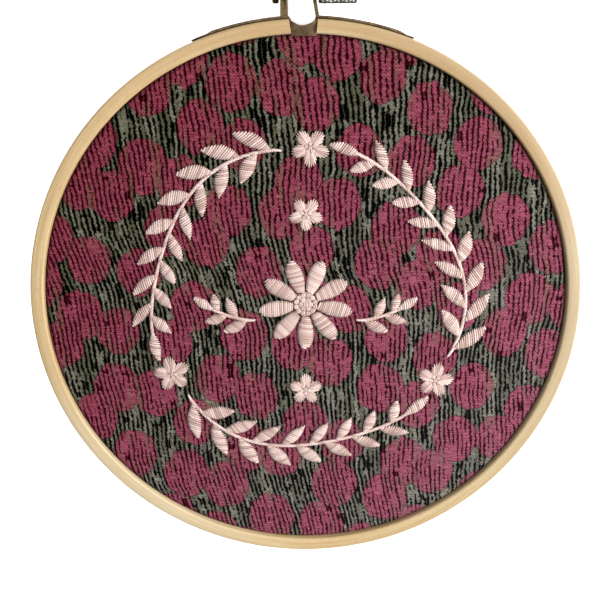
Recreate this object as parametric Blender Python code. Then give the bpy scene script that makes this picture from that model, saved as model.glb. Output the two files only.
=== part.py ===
"""Embroidered cloth stretched in a wooden screw hoop, lying on its back with its face up.

The hoop's middle is at the empty "hoop"; its screw clamp points to +Y. Lengths below are in
millimetres and angles in degrees, turned into metres and radians where the meshes are made.
"""

import math

import bmesh
import bpy
from mathutils import Matrix, Vector
from mathutils.geometry import tessellate_polygon

MM = 0.001
SEGMENTS = 96  # facets round every ring, the same for all so that the gaps between them stay even

# The two rings and the cloth between them
INNER_RING_IN_R = 83.1
INNER_RING_OUT_R = 87.3
INNER_RING_TOP = 9.0
CLOTH_THICK = 1.0
GAP = 0.3
CLOTH_LOW = INNER_RING_TOP + GAP
CLOTH_TOP = CLOTH_LOW + CLOTH_THICK
SKIRT_IN_R = INNER_RING_OUT_R + GAP
SKIRT_OUT_R = SKIRT_IN_R + CLOTH_THICK
SKIRT_LOW = 1.2
OUTER_RING_IN_R = SKIRT_OUT_R + GAP
OUTER_RING_OUT_R = 93.5
OUTER_RING_LOW = 2.8
OUTER_RING_TOP = 11.8

# The split in the outer ring: x of its two ends at the inner and the outer wall
SPLIT_LEFT = (-4.75, -5.7)
SPLIT_RIGHT = (3.45, 4.0)

# The clamp, pressed from thin sheet
SHEET = 0.7
WING_R = OUTER_RING_OUT_R + GAP
WING_LOW, WING_TOP = 3.5, 11.1
LEFT_WING_END = 112.7
RIGHT_WING_END = 68.6
LEFT_LUG_FOOT = -6.0  # x of the lug's middle plane at the front
RIGHT_LUG_FOOT = 3.35
LUG_LOW, LUG_TOP_Y = 93.95, 106.0
LEFT_LUG_TURN = -15.5  # about Y: its back stands further left
RIGHT_LUG_TURN = 5.5  # about Y: its back stands further right
RIGHT_LUG_LEAN = 10.6  # about Z: it leans towards the other lug

# The screw
SCREW_Y, SCREW_Z = 101.5, 7.3
SHAFT_R, SHAFT_HOLE_R = 1.5, 1.85
SHAFT_LEFT = -12.4
COLLAR_R, COLLAR_LEFT = 2.2, 3.7
HEAD_R, HEAD_LEFT, HEAD_RIGHT = 3.5, 3.95, 16.2
HEAD_RIDGES = 26
NUT_LEFT, NUT_RIGHT, NUT_CORNER_R = -10.7, -8.6, 3.7

# The embroidery, raised on the cloth
STITCH_LOW = CLOTH_TOP + GAP
STITCH_TOP = STITCH_LOW + 0.7
WREATH_R = 53.0

# The hoop's middle, placed so that the whole part is centred on the origin
HOOP_Y = -6.25

for obj in list(bpy.data.objects):
    bpy.data.objects.remove(obj, do_unlink=True)

hoop = bpy.data.objects.new("hoop", None)
hoop.location = (0.0, HOOP_Y * MM, 0.0)
bpy.context.scene.collection.objects.link(hoop)
cutters = bpy.data.collections.new("cutters")
bpy.context.scene.collection.children.link(cutters)


def material(name, colour, roughness, metallic=0.0):
    """A Principled material in one colour."""
    made = bpy.data.materials.new(name)
    made.use_nodes = True
    made.diffuse_color = (*colour, 1.0)
    shader = made.node_tree.nodes["Principled BSDF"]
    shader.inputs["Base Color"].default_value = (*colour, 1.0)
    shader.inputs["Roughness"].default_value = roughness
    shader.inputs["Metallic"].default_value = metallic
    return made


WOOD = material("beech_wood", (0.73, 0.51, 0.26), 0.5)
COTTON = material("printed_cotton", (0.16, 0.06, 0.06), 0.9)
METAL = material("aged_brass", (0.22, 0.16, 0.10), 0.4, 1.0)
THREAD = material("stitched_thread", (0.75, 0.56, 0.50), 0.6)


def finish(name, bm, surface, cutter=False):
    """Closes the bmesh into a named object in the hoop's frame."""
    bmesh.ops.remove_doubles(bm, verts=bm.verts, dist=1e-6)
    bmesh.ops.recalc_face_normals(bm, faces=bm.faces)
    if bm.calc_volume(signed=True) < 0.0:
        bmesh.ops.reverse_faces(bm, faces=bm.faces)
    mesh = bpy.data.meshes.new(name)
    bm.to_mesh(mesh)
    bm.free()
    obj = bpy.data.objects.new(name, mesh)
    obj.parent = hoop
    if cutter:
        obj.hide_render = True
        obj.display_type = "WIRE"
        cutters.objects.link(obj)
    else:
        mesh.materials.append(surface)
        bpy.context.scene.collection.objects.link(obj)
    return obj


def boolean(obj, other, operation):
    """Joins or cuts obj with another mesh."""
    made = obj.modifiers.new(operation.lower() + "_" + other.name, "BOOLEAN")
    made.operation = operation
    made.solver = "EXACT"
    made.object = other


def arc(cx, cy, radius, start, end, steps):
    """Points on an arc, from one angle to another."""
    out = []
    for i in range(steps + 1):
        a = math.radians(start + (end - start) * i / steps)
        out.append((cx + radius * math.cos(a), cy + radius * math.sin(a)))
    return out


def revolve(profile, segments=SEGMENTS, ridges=None):
    """Turns a closed (radius, height) profile about Z. A radius of 0 becomes one shared point."""
    bm = bmesh.new()
    rows = []
    for n, (r, z) in enumerate(profile):
        if r < 1e-9:
            rows.append([bm.verts.new((0.0, 0.0, z * MM))] * segments)
            continue
        row = []
        for i in range(segments):
            a = 2.0 * math.pi * i / segments
            rr = r - (ridges[n] if ridges and i % 2 else 0.0)
            row.append(bm.verts.new((rr * math.cos(a) * MM, rr * math.sin(a) * MM, z * MM)))
        rows.append(row)
    for a, b in zip(rows, rows[1:] + rows[:1]):
        for i in range(segments):
            j = (i + 1) % segments
            corners = []
            for v in (a[i], a[j], b[j], b[i]):
                if v not in corners:
                    corners.append(v)
            if len(corners) > 2:
                bm.faces.new(corners)
    return bm


def ring_profile(r_in, r_out, low, top, soft_in, soft_out, soft_back):
    """A rounded rectangle: soft_in and soft_out round the front's edges, soft_back the back's."""
    out = []
    out += arc(r_in + soft_back, low + soft_back, soft_back, 180, 270, 2)
    out += arc(r_out - soft_back, low + soft_back, soft_back, 270, 360, 2)
    out += arc(r_out - soft_out, top - soft_out, soft_out, 0, 90, 3)
    out += arc(r_in + soft_in, top - soft_in, soft_in, 90, 180, 3)
    return out


def prism(outline, low, top):
    """Extrudes a closed XY outline between two heights."""
    bm = bmesh.new()
    base = [bm.verts.new((x * MM, y * MM, low * MM)) for x, y in outline]
    lid = [bm.verts.new((x * MM, y * MM, top * MM)) for x, y in outline]
    for a, b, c in tessellate_polygon([[Vector((x, y, 0.0)) for x, y in outline]]):
        bm.faces.new((base[a], base[b], base[c]))
        bm.faces.new((lid[c], lid[b], lid[a]))
    for i in range(len(outline)):
        j = (i + 1) % len(outline)
        bm.faces.new((base[i], base[j], lid[j], lid[i]))
    return bm


def plate(stations):
    """A sheet from stations of four points each: inner low, inner high, outer high, outer low."""
    bm = bmesh.new()
    rows = [[bm.verts.new((x * MM, y * MM, z * MM)) for x, y, z in s] for s in stations]
    for a, b in zip(rows, rows[1:]):
        for i in range(4):
            j = (i + 1) % 4
            bm.faces.new((a[i], a[j], b[j], b[i]))
    bm.faces.new(rows[0][::-1])
    bm.faces.new(rows[-1])
    return bm


# --- The rings -----------------------------------------------------------------------------------
outer_ring = finish(
    "outer_ring",
    revolve(ring_profile(OUTER_RING_IN_R, OUTER_RING_OUT_R, OUTER_RING_LOW, OUTER_RING_TOP, 0.8, 0.8, 0.5)),
    WOOD,
)
split = finish(
    "split_cutter",
    prism(
        [
            (SPLIT_LEFT[0] + 0.8, 85.0),
            (SPLIT_RIGHT[0] - 0.47, 85.0),
            (SPLIT_RIGHT[1] + 0.24, 95.5),
            (SPLIT_LEFT[1] - 0.41, 95.5),
        ],
        0.0,
        15.0,
    ),
    None,
    cutter=True,
)
boolean(outer_ring, split, "DIFFERENCE")
finish(
    "inner_ring",
    revolve(ring_profile(INNER_RING_IN_R, INNER_RING_OUT_R, 0.0, INNER_RING_TOP, 0.6, 0.5, 0.5)),
    WOOD,
)

# --- The cloth: a flat face and a skirt that hangs between the rings --------------------------------
FOLD = 1.1
cloth_profile = [(0.0, CLOTH_TOP), (30.0, CLOTH_TOP), (60.0, CLOTH_TOP)]
cloth_profile += arc(SKIRT_OUT_R - FOLD, CLOTH_TOP - FOLD, FOLD, 90, 0, 4)
cloth_profile += [(SKIRT_OUT_R, SKIRT_LOW), (SKIRT_IN_R, SKIRT_LOW), (SKIRT_IN_R, CLOTH_LOW - 0.15)]
cloth_profile += [(SKIRT_IN_R - 0.15, CLOTH_LOW), (60.0, CLOTH_LOW), (30.0, CLOTH_LOW), (0.0, CLOTH_LOW)]
finish("cloth", revolve(cloth_profile), COTTON)


# --- The clamp -----------------------------------------------------------------------------------
def wing(name, far, near):
    """A strip on the ring's outside, from its rounded far end to the lug's foot."""
    stations = []
    middle, half = (WING_LOW + WING_TOP) / 2, (WING_TOP - WING_LOW) / 2
    length = abs(near - far)
    steps = [0.0, 0.25, 0.9, 2.0, 3.4] + [4.5 + (length - 4.5) * i / 6 for i in range(7)]
    for s in steps:
        a = math.radians(far + (near - far) * s / length)
        mm = s * math.pi / 180 * WING_R
        tall = half * math.sqrt(max(0.08, 1 - max(0.0, 1 - mm / half) ** 2)) if mm < half else half
        points = []
        for r, z in ((WING_R, -tall), (WING_R, tall), (WING_R + SHEET, tall), (WING_R + SHEET, -tall)):
            points.append((r * math.cos(a), r * math.sin(a), middle + z))
        stations.append(points)
    return finish(name, plate(stations), METAL, cutter=name != "clamp")


def lug(name, foot, turn, lean):
    """An upright ear with a rounded top. Turn is about the front edge, along Y; lean is about Z."""
    low, top = WING_LOW + 0.15, WING_TOP - 0.15
    middle, half = (low + top) / 2, (top - low) / 2
    stations = []
    place = Matrix.Translation(Vector((foot, LUG_LOW, top)))
    place = place @ Matrix.Rotation(math.radians(lean), 4, "Z") @ Matrix.Rotation(math.radians(turn), 4, "Y")
    height = LUG_TOP_Y - LUG_LOW
    for s in (0.0, 0.3, 0.55, 0.72, 0.84, 0.93, 0.98, 1.0):
        y = height * s
        rest = height - y
        tall = half * math.sqrt(max(0.08, 1 - (1 - rest / half) ** 2)) if rest < half else half
        points = []
        for x, z in ((SHEET / 2, -tall), (SHEET / 2, tall), (-SHEET / 2, tall), (-SHEET / 2, -tall)):
            points.append(tuple(place @ Vector((x, y, middle + z - top))))
        stations.append(points)
    return finish(name, plate(stations), METAL, cutter=True)


SADDLE_TOP = [(-5.95, 94.2), (-5.4, 94.05), (-5.0, 93.5), (-4.35, 92.75), (-3.6, 92.2), (-2.75, 91.75)]
SADDLE_TOP += [(-1.7, 91.5), (-0.6, 91.5), (0.3, 91.7), (1.3, 92.05), (2.3, 92.65), (2.85, 93.3), (3.05, 94.15)]
saddle_low = [(-5.95, 93.72), (-5.45, 93.72), (-5.2, 92.9)]
saddle_low += [(x, y - SHEET - 0.12) for x, y in SADDLE_TOP[3:-2]] + [(3.35, 92.7), (3.6, 93.87)]
apron = [(-4.4, 88.55), (3.1, 88.55), (3.15, 89.0), (3.55, 92.9)]
apron += [(x, y - 0.1) for x, y in SADDLE_TOP[-2:2:-1]] + [(-4.95, 92.8), (-5.08, 92.1)]

clamp = wing("clamp", LEFT_WING_END, 90.0 + math.degrees(math.asin(5.5 / WING_R)))
pieces = [
    lug("left_lug", LEFT_LUG_FOOT, -LEFT_LUG_TURN, 0.0),
    finish("saddle", prism(saddle_low + SADDLE_TOP[::-1], WING_LOW + 0.07, WING_TOP - 0.07), METAL, cutter=True),
    finish("apron", prism(apron, WING_TOP - SHEET - 0.2, WING_TOP - 0.2), METAL, cutter=True),
    wing("right_wing", RIGHT_WING_END, 90.0 - math.degrees(math.asin(3.2 / WING_R))),
    lug("right_lug", RIGHT_LUG_FOOT, -RIGHT_LUG_TURN, RIGHT_LUG_LEAN),
]
for piece in pieces:
    boolean(clamp, piece, "UNION")


def rod(name, radius, left, right, segments):
    """A plain rod on the screw's axis."""
    bm = revolve([(0.0, 0.0), (radius, 0.0), (radius, right - left), (0.0, right - left)], segments)
    bmesh.ops.transform(bm, verts=bm.verts, matrix=Matrix.Rotation(math.radians(90), 4, "Y"))
    return finish(name, bm, METAL, cutter=True)


lug_hole = rod("lug_hole", SHAFT_HOLE_R, -20.0, 20.0, 32)
lug_hole.location = (-20.0 * MM, SCREW_Y * MM, SCREW_Z * MM)
boolean(clamp, lug_hole, "DIFFERENCE")

# --- The screw and its nut -------------------------------------------------------------------------
screw_profile = [(0.0, SHAFT_LEFT), (SHAFT_R - 0.4, SHAFT_LEFT), (SHAFT_R, SHAFT_LEFT + 0.4), (SHAFT_R, COLLAR_LEFT)]
screw_profile += [(COLLAR_R, COLLAR_LEFT), (COLLAR_R, HEAD_LEFT), (HEAD_R - 0.5, HEAD_LEFT)]
screw_profile += [(HEAD_R, HEAD_LEFT + 0.5), (HEAD_R, HEAD_RIGHT - 0.6), (HEAD_R - 0.6, HEAD_RIGHT), (0.0, HEAD_RIGHT)]
depths = [0.0] * 7 + [0.28, 0.28, 0.0, 0.0]
bm = revolve(screw_profile, HEAD_RIDGES * 2, depths)
bmesh.ops.transform(bm, verts=bm.verts, matrix=Matrix.Rotation(math.radians(90), 4, "Y"))
screw = finish("screw", bm, METAL)
screw.location = (0.0, SCREW_Y * MM, SCREW_Z * MM)

nut_profile = [(SHAFT_R + GAP, 0.0), (NUT_CORNER_R, 0.0), (NUT_CORNER_R, NUT_RIGHT - NUT_LEFT)]
nut_profile += [(SHAFT_R + GAP, NUT_RIGHT - NUT_LEFT)]
bm = bmesh.new()
rows = []
for r, z in nut_profile:
    row = []
    for i in range(24):
        a = 2.0 * math.pi * i / 24
        if r > SHAFT_R + GAP:
            side = (math.degrees(a) % 60.0) - 30.0
            rr = r * math.cos(math.radians(30)) / math.cos(math.radians(side))
        else:
            rr = r
        row.append(bm.verts.new((z * MM, rr * math.cos(a) * MM, rr * math.sin(a) * MM)))
    rows.append(row)
for a, b in zip(rows, rows[1:] + rows[:1]):
    for i in range(24):
        j = (i + 1) % 24
        bm.faces.new((a[i], a[j], b[j], b[i]))
nut = finish("nut", bm, METAL)
nut.location = (NUT_LEFT * MM, SCREW_Y * MM, SCREW_Z * MM)


# --- The embroidery --------------------------------------------------------------------------------
def leafy(length, stations, leaf_long, leaf_half, slant, stem_half, tip_long):
    """The outline of a stem with leaves on both sides, as (along, across) points."""
    rise = math.radians(slant)
    sides = []
    for side in (1, -1):
        row = [(0.0, side * stem_half)]
        for s in stations[0 if side > 0 else 1]:
            size = 1.0 - 0.25 * s / length
            long, half = leaf_long * size, leaf_half * size
            first = stem_half / math.sin(rise) / long + 0.06
            row.append((s - 0.25, side * stem_half))
            back = [first + (1.0 - first) * k / 7 for k in range(8)]
            for edge, line in ((1, back), (-1, back[-2::-1])):
                for t in line:
                    w = half * math.sin(math.pi * t) ** 0.9 if t < 1.0 else 0.0
                    along = s + t * long * math.cos(rise) - edge * w * math.sin(rise)
                    across = t * long * math.sin(rise) + edge * w * math.cos(rise)
                    if across > stem_half + 0.12:
                        row.append((along, side * across))
            last = row[-1]
            row.append((last[0] - 0.6 * (abs(last[1]) - stem_half), side * stem_half))
        row.append((length, side * stem_half))
        sides.append(row)
    tip = []
    for k in range(1, 8):
        t = 0.12 + 0.88 * k / 8
        tip.append((length + tip_long * (t - 0.12), leaf_half * 0.8 * math.sin(math.pi * t) ** 0.9))
    crown = tip + [(length + tip_long * 0.88, 0.0)] + [(s, -w) for s, w in tip[::-1]]
    return sides[0] + crown + sides[1][::-1]


def on_circle(points, radius, start, wave):
    """Bends (along, across) points onto a circle about the hoop's middle, with a slight wave."""
    out = []
    for s, n in points:
        a = math.radians(start) + s / radius
        r = radius + n + wave * math.sin(s / radius * 4.2)
        out.append((r * math.cos(a), r * math.sin(a)))
    return out


def on_curve(points, cx, cy, heading, bend):
    """Lays (along, across) points on an arc that starts at a point with a heading."""
    out = []
    h = math.radians(heading)
    for s, n in points:
        turn = s * bend
        x = math.sin(turn) / bend - n * math.sin(turn)
        y = (1.0 - math.cos(turn)) / bend + n * math.cos(turn)
        out.append((cx + x * math.cos(h) - y * math.sin(h), cy + x * math.sin(h) + y * math.cos(h)))
    return out


def petals(cx, cy, radius, count, inner, turn):
    """The outline of an open flower."""
    out = []
    steps = count * 12
    for i in range(steps):
        a = 2.0 * math.pi * i / steps
        r = radius * (inner + (1.0 - inner) * abs(math.sin(count * a / 2.0)) ** 0.7)
        out.append((cx + r * math.cos(a + math.radians(turn)), cy + r * math.sin(a + math.radians(turn))))
    return out


SPRIG_LONG = 86.0
SPRIG_LEAVES = ([3.0 + 10.2 * i for i in range(8)], [7.6 + 10.2 * i for i in range(8)])
for n, letter in enumerate("abc"):
    line = leafy(SPRIG_LONG, SPRIG_LEAVES, 13.0, 2.5, 40.0, 0.8, 11.0)
    start = 90.0 + 120.0 * n + 9.0
    finish("sprig_" + letter, prism(on_circle(line, WREATH_R, start, 1.6), STITCH_LOW, STITCH_TOP), THREAD)
    a = math.radians(90.0 + 120.0 * n - 1.5)
    flower = petals(WREATH_R * math.cos(a), WREATH_R * math.sin(a), 6.6, 5, 0.42, 90.0 + 120.0 * n)
    finish("blossom_" + letter, prism(flower, STITCH_LOW, STITCH_TOP), THREAD)

daisy = finish("daisy", prism(petals(0.0, 0.0, 16.0, 9, 0.40, 90.0), STITCH_LOW, STITCH_TOP), THREAD)
eye_hole = finish("eye_cutter", prism(arc(0.0, 0.0, 4.5, 0, 345, 23), 9.0, 14.0), None, cutter=True)
boolean(daisy, eye_hole, "DIFFERENCE")
finish("daisy_eye", prism(arc(0.0, 0.0, 4.2, 0, 345, 23), STITCH_LOW, STITCH_TOP + 0.2), THREAD)

for letter, cy in (("d", 31.0), ("e", -31.0)):
    flower = petals(0.0, cy, 6.0, 5, 0.42, 90.0 if cy > 0 else -90.0)
    finish("blossom_" + letter, prism(flower, STITCH_LOW, STITCH_TOP), THREAD)

TWIG_LEAVES = ([2.5, 9.5], [5.8, 12.4])
twig = leafy(15.5, TWIG_LEAVES, 9.5, 2.1, 42.0, 0.75, 8.5)
mirrored = [(s, -n) for s, n in twig][::-1]
finish("twig_l", prism(on_curve(twig, -17.5, -6.0, 176.0, -0.028), STITCH_LOW, STITCH_TOP), THREAD)
finish("twig_r", prism(on_curve(mirrored, 17.5, -6.0, 4.0, 0.028), STITCH_LOW, STITCH_TOP), THREAD)

bpy.context.view_layer.update()
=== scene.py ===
# %% [markdown]
# # Embroidered cloth in a wooden screw hoop
#
# A printed cotton is stretched over a closed wooden ring. A second ring, split at the top,
# goes round both, and a small thumbscrew draws its ends together until the cloth is as tight
# as a drum. On the face is a stitched wreath.

# %% Load the fixed frame
import math
import random

import bpy
import numpy as np
from mathutils import Matrix, Vector


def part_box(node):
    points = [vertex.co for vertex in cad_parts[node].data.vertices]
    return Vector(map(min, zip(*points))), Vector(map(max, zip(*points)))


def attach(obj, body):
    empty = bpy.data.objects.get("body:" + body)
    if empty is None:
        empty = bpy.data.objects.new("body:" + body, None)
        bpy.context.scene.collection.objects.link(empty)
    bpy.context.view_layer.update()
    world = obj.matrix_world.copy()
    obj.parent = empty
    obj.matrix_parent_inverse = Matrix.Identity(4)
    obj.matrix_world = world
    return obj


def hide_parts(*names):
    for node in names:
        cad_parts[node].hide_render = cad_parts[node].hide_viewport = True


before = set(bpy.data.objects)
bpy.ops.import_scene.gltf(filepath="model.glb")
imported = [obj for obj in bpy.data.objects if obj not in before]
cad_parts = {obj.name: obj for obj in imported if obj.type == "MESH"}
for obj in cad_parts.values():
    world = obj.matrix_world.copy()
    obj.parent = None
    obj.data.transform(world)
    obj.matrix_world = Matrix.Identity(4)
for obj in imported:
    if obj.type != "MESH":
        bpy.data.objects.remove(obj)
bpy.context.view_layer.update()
MM = 0.001
random.seed(7)

# %% [markdown]
# ## Sizes
#
# The solids carry the real sizes, so the script reads them back from the frame instead of
# stating them twice. The hoop's middle is the middle of the inner ring.

# %% Read the sizes back
low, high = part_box("inner_ring")
HOOP_Y = (low[1] + high[1]) / 2
INNER_R = (high[0] - low[0]) / 2
INNER_LOW, INNER_TOP = low[2], high[2]
low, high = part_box("cloth")
CLOTH_R = (high[0] - low[0]) / 2
CLOTH_TOP, CLOTH_EDGE = high[2], low[2]
low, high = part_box("outer_ring")
OUTER_R = (high[0] - low[0]) / 2
OUTER_LOW, OUTER_TOP = low[2], high[2]
OUTER_WALL = OUTER_R - CLOTH_R - 0.3 * MM  # the solids keep 0.3 mm between cloth and ring
low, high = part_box("screw")
SCREW_Y, SCREW_Z = (low[1] + high[1]) / 2, (low[2] + high[2]) / 2
SCREW_LEFT, SCREW_RIGHT = low[0], high[0]
HEAD_R = (high[2] - low[2]) / 2
low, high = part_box("nut")
NUT_R = (high[1] - low[1]) / 2
NUT_LEFT, NUT_RIGHT = low[0], high[0]
print("ring", round(OUTER_R * 2000, 1), "mm across, cloth", round(CLOTH_R * 2000, 1), "mm")

# %% [markdown]
# ## Camera
#
# The photograph looks down at the face from a little above the clamp's side, close enough for
# the top of the ring to look larger than the bottom. The tilt, distance and lens below make
# the ring's outline the same ellipse in the frame.

# %% Camera
TILT = math.radians(15.68)
DISTANCE = 0.323
ASIDE, ABOVE = -0.0019, 0.0017  # from the hoop's middle to the view's
LENS = 57.0


def new_object(name, data):
    """Adds an object to the scene."""
    obj = bpy.data.objects.new(name, data)
    bpy.context.scene.collection.objects.link(obj)
    return obj


camera_data = bpy.data.cameras.new("photo_camera")
camera_data.lens = LENS
camera_data.sensor_width = 36.0
camera_data.clip_start = 0.01
camera = new_object("photo_camera", camera_data)
turn = Matrix.Rotation(-TILT, 4, "X")
face_middle = Vector((0.0, HOOP_Y, OUTER_TOP))
offset = turn @ Vector((ASIDE, ABOVE, DISTANCE))
camera.matrix_world = Matrix.Translation(face_middle + offset) @ turn
bpy.context.scene.camera = camera
print("camera at", [round(v, 3) for v in camera.location])

# %% [markdown]
# ## Floor and light
#
# The floor is plain and almost white. Light is broad and soft and comes mostly from the right,
# as the pale inner wall at the left of the ring shows. The floor also glows faintly, as a light
# table does, which clears the ring's own shade from it.

# %% Floor
bpy.ops.mesh.primitive_plane_add(size=4.0, location=(0.0, 0.0, 0.0))
floor = bpy.context.object
floor.name = "floor"
print("floor", round(floor.dimensions.x, 1), "m wide")

# %% Lights
world = bpy.data.worlds.new("pale_room")
bpy.context.scene.world = world
world.use_nodes = True
sky = world.node_tree.nodes["Background"]
sky.inputs["Color"].default_value = (0.93, 0.96, 1.0, 1.0)
sky.inputs["Strength"].default_value = 0.45


def lamp(name, place, size, power, colour):
    """A square soft box that looks at the hoop."""
    data = bpy.data.lights.new(name, "AREA")
    data.size, data.energy, data.color = size, power, colour
    obj = new_object(name, data)
    obj.location = place
    obj.rotation_euler = (-Vector(place)).to_track_quat("-Z", "Y").to_euler()


lamp("window_right", (0.44, 0.04, 0.33), 0.35, 6.1, (1.0, 0.99, 0.97))
lamp("ceiling", (-0.25, 0.40, 1.10), 1.5, 7.0, (1.0, 1.0, 1.0))
bpy.context.scene.view_settings.view_transform = "Standard"
print("two lamps and a pale world")

# %% [markdown]
# ## Helpers for materials
#
# One function adds any node with its settings and links, and says what feeds it. Colours are
# written as they look on a screen, in hex, and one function turns them into the linear numbers
# that Blender wants. What is the same all over a surface is set on its shader.

# %% Material helpers
IN_MM = (1000.0, 1000.0, 1000.0)  # the scale by which a pattern counts in mm


def linear(hex_colour):
    """An sRGB hex colour as linear RGBA."""
    parts = [int(hex_colour[i:i + 2], 16) / 255 for i in (1, 3, 5)]
    return tuple(v / 12.92 if v <= 0.04045 else ((v + 0.055) / 1.055) ** 2.4 for v in parts) + (1.0,)


def feed(node, inputs):
    """Fills inputs, each with a number, a hex colour, or the output or node that feeds it."""
    for key, value in inputs.items():
        if isinstance(value, str):
            value = linear(value)
        if isinstance(value, bpy.types.Node):  # a node gives its first output that is in use
            value = next(output for output in value.outputs if output.enabled)
        if isinstance(value, bpy.types.NodeSocket):
            node.id_data.links.new(value, node.inputs[key])
        else:
            node.inputs[key].default_value = value


def add(tree, kind, inputs=None, **settings):
    """Adds a node with its settings and links."""
    node = tree.nodes.new("ShaderNode" + kind)
    for name, value in settings.items():
        setattr(node, name, value)
    feed(node, inputs or {})
    return node


def new_material(name, inputs):
    """A material, its nodes and its Principled shader, with what is the same all over it."""
    made = bpy.data.materials.new(name)
    made.use_nodes = True
    shader = made.node_tree.nodes["Principled BSDF"]
    feed(shader, inputs)
    return made, made.node_tree, shader


# %% Floor finish
MATT_FLOOR, tree, shader = new_material(
    "matt_painted_board",
    {"Roughness": 0.9, "Emission Color": "#FFFFFF", "Emission Strength": 0.7})
place = add(tree, "TexCoord")
speckle = add(tree, "TexNoise", {"Vector": place.outputs["Object"], "Scale": 900.0})
tone = add(tree, "Mix", {"Factor": speckle, "A": "#FAFAFA", "B": "#FEFEFD"}, data_type="RGBA")
feed(shader, {"Base Color": tone})
floor.data.materials.append(MATT_FLOOR)
print("floor finish has", len(tree.nodes), "nodes")

# %% [markdown]
# ## The printed cotton
#
# The cloth is a quilting cotton with a dark ground, printed in two inks with dots over short
# upright strokes. It could be painted on a picture and wrapped on, but numbers are sharper and
# need no file. The cloth is divided in narrow columns. Ink fills a column where a slow noise
# of that column is high, so each stroke swells and tapers, and a thin crack of ground opens
# between two columns where a noise of their border is high. Where neither is open, strokes run
# together. The dots are the points near a centre of a larger Voronoi pattern. The pattern
# follows the cloth's own map, which is the cloth laid flat, so it runs on over the fold.

# %% Cotton print: columns
PRINTED_COTTON, tree, shader = new_material(
    "plain_woven_cotton_screen_printed", {"Roughness": 0.92, "Specular IOR Level": 0.015})
COLUMN = 1.65  # mm from one stroke to the next
EDGE = 90.0  # mm from the cloth's middle to about its edge
LEAN_LEFT, LEAN_RIGHT = 0.20, 0.02
WOBBLES = ((150.0, 70.0, 15.0), (9.0, 7.0, 1.4), (1.0, 1.1, 0.8))  # mm wide, long, sideways
place = add(tree, "UVMap", uv_map="laid_flat")
mm = add(tree, "Mapping", {"Vector": place, "Scale": IN_MM})
axes = add(tree, "SeparateXYZ", {"Vector": mm})
across, up = axes.outputs["X"], axes.outputs["Y"]

# The strokes lean, by more at the left than at the right, and three sizes of wobble move them
# sideways: a slow drift, a drawn line's waver and a rough edge. The dots take only the last two.
dot_across = across
lean = add(tree, "MapRange", {"Value": across, "From Min": -EDGE, "From Max": EDGE,
                              "To Min": LEAN_LEFT, "To Max": LEAN_RIGHT})
across = add(tree, "Math", {0: lean, 1: up, 2: across}, operation="MULTIPLY_ADD")
for wide, long, swing in WOBBLES:
    spread = add(tree, "Mapping", {"Vector": mm, "Scale": (1 / wide, 1 / long, 1.0)})
    noise = add(tree, "TexNoise", {"Vector": spread, "Scale": 1.0, "Detail": 1.0},
                noise_dimensions="2D")
    centred = add(tree, "Math", {0: noise, 1: 0.5}, operation="SUBTRACT")
    across = add(tree, "Math", {0: centred, 1: swing, 2: across}, operation="MULTIPLY_ADD")
    if wide < EDGE:
        dot_across = add(tree, "Math", {0: centred, 1: swing, 2: dot_across}, operation="MULTIPLY_ADD")
columns = add(tree, "Math", {0: across, 1: COLUMN}, operation="DIVIDE")
column = add(tree, "Math", {0: columns}, operation="FLOOR")
border = add(tree, "Math", {0: columns}, operation="ROUND")
from_border = add(tree, "Math", {0: columns, 1: border}, operation="SUBTRACT")
from_border = add(tree, "Math", {0: from_border}, operation="ABSOLUTE")
from_middle = add(tree, "Math", {0: 0.5, 1: from_border}, operation="SUBTRACT")
chance = add(tree, "TexWhiteNoise", {"W": column}, noise_dimensions="1D")
chance = add(tree, "SeparateColor", {"Color": chance.outputs["Color"]})
print("a column every", COLUMN, "mm")

# %% Cotton print: ink and cracks along a column
# Each column and each border has a slow noise of its own along its length. The steps between
# them aren't whole numbers, because the noise is always one half at its whole-number corners.
STROKE_LONG, CRACK_LONG = 7.0, 8.0  # mm
runs = []
for index, long, step in ((column, STROKE_LONG, 37.37), (border, CRACK_LONG, 41.19)):
    x = add(tree, "Math", {0: index, 1: step}, operation="MULTIPLY")
    y = add(tree, "Math", {0: index, 1: 0.73}, operation="MULTIPLY")
    y = add(tree, "Math", {0: up, 1: 1 / long, 2: y}, operation="MULTIPLY_ADD")
    xy = add(tree, "CombineXYZ", {"X": x, "Y": y})
    runs.append(add(tree, "TexNoise", {"Vector": xy, "Scale": 1.0, "Detail": 1.5},
                    noise_dimensions="2D"))
stroke_run, crack_run = runs
print("a stroke swells and tapers over about", STROKE_LONG, "mm")

# %% Cotton print: dots
# Dots, taller than wide, with an edge that each column moves a little. Where two of them meet,
# the line between their cells is an edge too, so each keeps an outline of its own.
DOT_SPACING = 16.9  # mm
DOT_TALL = 0.88  # a dot's width for its height
DOT_LEAST, DOT_SPREAD = 0.44, 0.05  # radius, as a part of the spacing
ragged = add(tree, "Math", {0: chance.outputs[1], 1: 1.3, 2: up}, operation="MULTIPLY_ADD")
spot = add(tree, "CombineXYZ", {"X": dot_across, "Y": ragged})
spot = add(tree, "Mapping", {"Vector": spot, "Scale": (1 / DOT_SPACING, DOT_TALL / DOT_SPACING, 1.0),
                             "Rotation": (0.0, 0.0, 0.42), "Location": (3.3, 7.1, 0.0)})
scatter = {"Vector": spot, "Scale": 1.0, "Randomness": 0.42}
dots = add(tree, "TexVoronoi", scatter, voronoi_dimensions="2D", feature="F1")
cells = add(tree, "TexVoronoi", scatter, voronoi_dimensions="2D", feature="DISTANCE_TO_EDGE")
dot_chance = add(tree, "SeparateColor", {"Color": dots.outputs["Color"]})
radius = add(tree, "Math", {0: dot_chance, 1: DOT_SPREAD, 2: DOT_LEAST}, operation="MULTIPLY_ADD")
depth = add(tree, "Math", {0: radius, 1: dots}, operation="SUBTRACT")
in_dot = add(tree, "MapRange", {"Value": depth, "From Min": -0.008, "From Max": 0.008})
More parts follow.
